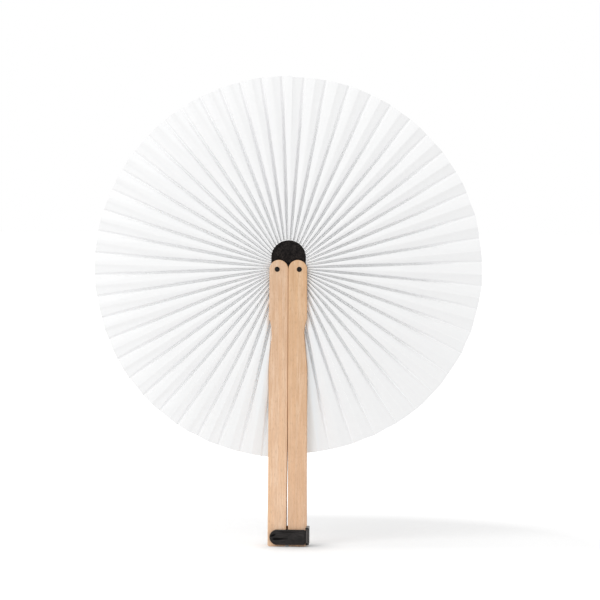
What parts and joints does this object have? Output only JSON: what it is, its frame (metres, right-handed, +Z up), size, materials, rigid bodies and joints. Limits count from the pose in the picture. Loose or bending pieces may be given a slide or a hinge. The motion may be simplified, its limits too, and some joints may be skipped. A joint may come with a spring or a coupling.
{
  "type": "folding fan",
  "caption": "Wooden folding fan opened into a full round: white pleated leaf, black hub and two long pale wooden handle sticks held together by a small hinged clip at the foot.",
  "frame": {"origin": "on the ground, in the middle between the feet of the two sticks, halfway between front and back", "axes": "+Z up along the sticks towards the leaf, -Y towards the viewer of the fan's front, +X to that viewer's right, where the clip's hinge is"},
  "size_m": [0.25, 0.0178, 0.3046],
  "materials": {
    "left_wood": "pale, fine vertical grain, sanded and lightly oiled",
    "right_wood": "pale, fine vertical grain, a little warmer than the left stick",
    "hub": "black, finely grained",
    "pins": "dark, rounded heads",
    "leaf": "white, matte, sharply pleated",
    "clip": "black, satin",
    "tongue": "charcoal, soft gloss, with pressed grooves",
    "wire": "dark wire"
  },
  "bodies": {
    "hub_and_pins": {"hub": "hub", "pin_left": "pins", "pin_right": "pins"},
    "left_handle": {"stick_left": "left_wood"},
    "right_handle": {"stick_right": "right_wood", "clip_bracket": "clip", "clip_hinge_wire": "wire"},
    "tongue": {"clip_tongue": "tongue"},
    "leaf_left_01_section": {"leaf_left_01": "leaf"},
    "leaf_left_02_section": {"leaf_left_02": "leaf"},
    "leaf_left_03_section": {"leaf_left_03": "leaf"},
    "leaf_left_04_section": {"leaf_left_04": "leaf"},
    "leaf_left_05_section": {"leaf_left_05": "leaf"},
    "leaf_left_06_section": {"leaf_left_06": "leaf"},
    "leaf_left_07_section": {"leaf_left_07": "leaf"},
    "leaf_left_08_section": {"leaf_left_08": "leaf"},
    "leaf_left_09_section": {"leaf_left_09": "leaf"},
    "leaf_left_10_section": {"leaf_left_10": "leaf"},
    "leaf_left_11_section": {"leaf_left_11": "leaf"},
    "leaf_left_12_section": {"leaf_left_12": "leaf"},
    "leaf_left_13_section": {"leaf_left_13": "leaf"},
    "leaf_right_01_section": {"leaf_right_01": "leaf"},
    "leaf_right_02_section": {"leaf_right_02": "leaf"},
    "leaf_right_03_section": {"leaf_right_03": "leaf"},
    "leaf_right_04_section": {"leaf_right_04": "leaf"},
    "leaf_right_05_section": {"leaf_right_05": "leaf"},
    "leaf_right_06_section": {"leaf_right_06": "leaf"},
    "leaf_right_07_section": {"leaf_right_07": "leaf"},
    "leaf_right_08_section": {"leaf_right_08": "leaf"},
    "leaf_right_09_section": {"leaf_right_09": "leaf"},
    "leaf_right_10_section": {"leaf_right_10": "leaf"},
    "leaf_right_11_section": {"leaf_right_11": "leaf"},
    "leaf_right_12_section": {"leaf_right_12": "leaf"}
  },
  "joints": [
    {"name": "left_stick_swing", "type": "hinge", "parent": "hub_and_pins", "child": "left_handle", "pos_m": [-0.00717, 0, 0.18], "axis": [0, 1, 0], "range_deg": [0, 180]},
    {"name": "right_stick_swing", "type": "hinge", "parent": "hub_and_pins", "child": "right_handle", "pos_m": [0.00717, 0, 0.18], "axis": [0, -1, 0], "range_deg": [0, 180]},
    {"name": "clip_swing", "type": "hinge", "parent": "right_handle", "child": "tongue", "pos_m": [0.01308, -0.0076, 0.0062], "axis": [0, 0, 1], "range_deg": [0, 180]},
    {"name": "leaf_left_01_fold", "type": "hinge", "parent": "hub_and_pins", "child": "leaf_left_01_section", "pos_m": [-0.00014, 0, 0.18138], "axis": [0, 1, 0], "range_deg": [0, 5.3], "deforming": ["leaf_left_01"]},
    {"name": "leaf_left_02_fold", "type": "hinge", "parent": "hub_and_pins", "child": "leaf_left_02_section", "pos_m": [-0.00018, 0, 0.18133], "axis": [0, 1, 0], "range_deg": [0, 17.95], "deforming": ["leaf_left_02"]},
    {"name": "leaf_left_03_fold", "type": "hinge", "parent": "hub_and_pins", "child": "leaf_left_03_section", "pos_m": [-0.00028, 0, 0.18128], "axis": [0, 1, 0], "range_deg": [0, 30.7], "deforming": ["leaf_left_03"]},
    {"name": "leaf_left_04_fold", "type": "hinge", "parent": "hub_and_pins", "child": "leaf_left_04_section", "pos_m": [-0.00041, 0, 0.18123], "axis": [0, 1, 0], "range_deg": [0, 43.54], "deforming": ["leaf_left_04"]},
    {"name": "leaf_left_05_fold", "type": "hinge", "parent": "hub_and_pins", "child": "leaf_left_05_section", "pos_m": [-0.00057, 0, 0.18118], "axis": [0, 1, 0], "range_deg": [0, 56.49], "deforming": ["leaf_left_05"]},
    {"name": "leaf_left_06_fold", "type": "hinge", "parent": "hub_and_pins", "child": "leaf_left_06_section", "pos_m": [-0.00076, 0, 0.18113], "axis": [0, 1, 0], "range_deg": [0, 69.53], "deforming": ["leaf_left_06"]},
    {"name": "leaf_left_07_fold", "type": "hinge", "parent": "hub_and_pins", "child": "leaf_left_07_section", "pos_m": [-0.00096, 0, 0.18108], "axis": [0, 1, 0], "range_deg": [0, 82.68], "deforming": ["leaf_left_07"]},
    {"name": "leaf_left_08_fold", "type": "hinge", "parent": "hub_and_pins", "child": "leaf_left_08_section", "pos_m": [-0.00117, 0, 0.18103], "axis": [0, 1, 0], "range_deg": [0, 95.92], "deforming": ["leaf_left_08"]},
    {"name": "leaf_left_09_fold", "type": "hinge", "parent": "hub_and_pins", "child": "leaf_left_09_section", "pos_m": [-0.00137, 0, 0.18097], "axis": [0, 1, 0], "range_deg": [0, 109.27], "deforming": ["leaf_left_09"]},
    {"name": "leaf_left_10_fold", "type": "hinge", "parent": "hub_and_pins", "child": "leaf_left_10_section", "pos_m": [-0.00156, 0, 0.18092], "axis": [0, 1, 0], "range_deg": [0, 122.71], "deforming": ["leaf_left_10"]},
    {"name": "leaf_left_11_fold", "type": "hinge", "parent": "hub_and_pins", "child": "leaf_left_11_section", "pos_m": [-0.00173, 0, 0.18087], "axis": [0, 1, 0], "range_deg": [0, 136.26], "deforming": ["leaf_left_11"]},
    {"name": "leaf_left_12_fold", "type": "hinge", "parent": "hub_and_pins", "child": "leaf_left_12_section", "pos_m": [-0.00187, 0, 0.18082], "axis": [0, 1, 0], "range_deg": [0, 149.9], "deforming": ["leaf_left_12"]},
    {"name": "leaf_left_13_fold", "type": "hinge", "parent": "hub_and_pins", "child": "leaf_left_13_section", "pos_m": [-0.00198, 0, 0.18075], "axis": [0, 1, 0], "range_deg": [0, 166.09], "deforming": ["leaf_left_13"]},
    {"name": "leaf_right_01_fold", "type": "hinge", "parent": "hub_and_pins", "child": "leaf_right_01_section", "pos_m": [0.00014, 0, 0.18137], "axis": [0, -1, 0], "range_deg": [0, 7.82], "deforming": ["leaf_right_01"]},
    {"name": "leaf_right_02_fold", "type": "hinge", "parent": "hub_and_pins", "child": "leaf_right_02_section", "pos_m": [0.00021, 0, 0.18132], "axis": [0, -1, 0], "range_deg": [0, 21.51], "deforming": ["leaf_right_02"]},
    {"name": "leaf_right_03_fold", "type": "hinge", "parent": "hub_and_pins", "child": "leaf_right_03_section", "pos_m": [0.00032, 0, 0.18126], "axis": [0, -1, 0], "range_deg": [0, 35.31], "deforming": ["leaf_right_03"]},
    {"name": "leaf_right_04_fold", "type": "hinge", "parent": "hub_and_pins", "child": "leaf_right_04_section", "pos_m": [0.00048, 0, 0.18121], "axis": [0, -1, 0], "range_deg": [0, 49.23], "deforming": ["leaf_right_04"]},
    {"name": "leaf_right_05_fold", "type": "hinge", "parent": "hub_and_pins", "child": "leaf_right_05_section", "pos_m": [0.00067, 0, 0.18115], "axis": [0, -1, 0], "range_deg": [0, 63.27], "deforming": ["leaf_right_05"]},
    {"name": "leaf_right_06_fold", "type": "hinge", "parent": "hub_and_pins", "child": "leaf_right_06_section", "pos_m": [0.00088, 0, 0.1811], "axis": [0, -1, 0], "range_deg": [0, 77.43], "deforming": ["leaf_right_06"]},
    {"name": "leaf_right_07_fold", "type": "hinge", "parent": "hub_and_pins", "child": "leaf_right_07_section", "pos_m": [0.0011, 0, 0.18104], "axis": [0, -1, 0], "range_deg": [0, 91.7], "deforming": ["leaf_right_07"]},
    {"name": "leaf_right_08_fold", "type": "hinge", "parent": "hub_and_pins", "child": "leaf_right_08_section", "pos_m": [0.00132, 0, 0.18099], "axis": [0, -1, 0], "range_deg": [0, 106.09], "deforming": ["leaf_right_08"]},
    {"name": "leaf_right_09_fold", "type": "hinge", "parent": "hub_and_pins", "child": "leaf_right_09_section", "pos_m": [0.00153, 0, 0.18093], "axis": [0, -1, 0], "range_deg": [0, 120.59], "deforming": ["leaf_right_09"]},
    {"name": "leaf_right_10_fold", "type": "hinge", "parent": "hub_and_pins", "child": "leaf_right_10_section", "pos_m": [0.00172, 0, 0.18087], "axis": [0, -1, 0], "range_deg": [0, 135.21], "deforming": ["leaf_right_10"]},
    {"name": "leaf_right_11_fold", "type": "hinge", "parent": "hub_and_pins", "child": "leaf_right_11_section", "pos_m": [0.00187, 0, 0.18082], "axis": [0, -1, 0], "range_deg": [0, 149.95], "deforming": ["leaf_right_11"]},
    {"name": "leaf_right_12_fold", "type": "hinge", "parent": "hub_and_pins", "child": "leaf_right_12_section", "pos_m": [0.00198, 0, 0.18075], "axis": [0, -1, 0], "range_deg": [0, 166.39], "deforming": ["leaf_right_12"]}
  ],
  "couplings": [
    {"joint": "leaf_left_01_fold", "follows": "left_stick_swing", "ratio": 0.029436},
    {"joint": "leaf_left_02_fold", "follows": "left_stick_swing", "ratio": 0.099696},
    {"joint": "leaf_left_03_fold", "follows": "left_stick_swing", "ratio": 0.17051},
    {"joint": "leaf_left_04_fold", "follows": "left_stick_swing", "ratio": 0.24188},
    {"joint": "leaf_left_05_fold", "follows": "left_stick_swing", "ratio": 0.3138},
    {"joint": "leaf_left_06_fold", "follows": "left_stick_swing", "ratio": 0.38628},
    {"joint": "leaf_left_07_fold", "follows": "left_stick_swing", "ratio": 0.4593},
    {"joint": "leaf_left_08_fold", "follows": "left_stick_swing", "ratio": 0.53289},
    {"joint": "leaf_left_09_fold", "follows": "left_stick_swing", "ratio": 0.60702},
    {"joint": "leaf_left_10_fold", "follows": "left_stick_swing", "ratio": 0.68171},
    {"joint": "leaf_left_11_fold", "follows": "left_stick_swing", "ratio": 0.75696},
    {"joint": "leaf_left_12_fold", "follows": "left_stick_swing", "ratio": 0.83276},
    {"joint": "leaf_left_13_fold", "follows": "left_stick_swing", "ratio": 0.9227},
    {"joint": "leaf_right_01_fold", "follows": "right_stick_swing", "ratio": 0.043416},
    {"joint": "leaf_right_02_fold", "follows": "right_stick_swing", "ratio": 0.11946},
    {"joint": "leaf_right_03_fold", "follows": "right_stick_swing", "ratio": 0.19615},
    {"joint": "leaf_right_04_fold", "follows": "right_stick_swing", "ratio": 0.27349},
    {"joint": "leaf_right_05_fold", "follows": "right_stick_swing", "ratio": 0.35148},
    {"joint": "leaf_right_06_fold", "follows": "right_stick_swing", "ratio": 0.43012},
    {"joint": "leaf_right_07_fold", "follows": "right_stick_swing", "ratio": 0.5094},
    {"joint": "leaf_right_08_fold", "follows": "right_stick_swing", "ratio": 0.58933},
    {"joint": "leaf_right_09_fold", "follows": "right_stick_swing", "ratio": 0.66991},
    {"joint": "leaf_right_10_fold", "follows": "right_stick_swing", "ratio": 0.75114},
    {"joint": "leaf_right_11_fold", "follows": "right_stick_swing", "ratio": 0.83302},
    {"joint": "leaf_right_12_fold", "follows": "right_stick_swing", "ratio": 0.92436}
  ]
}
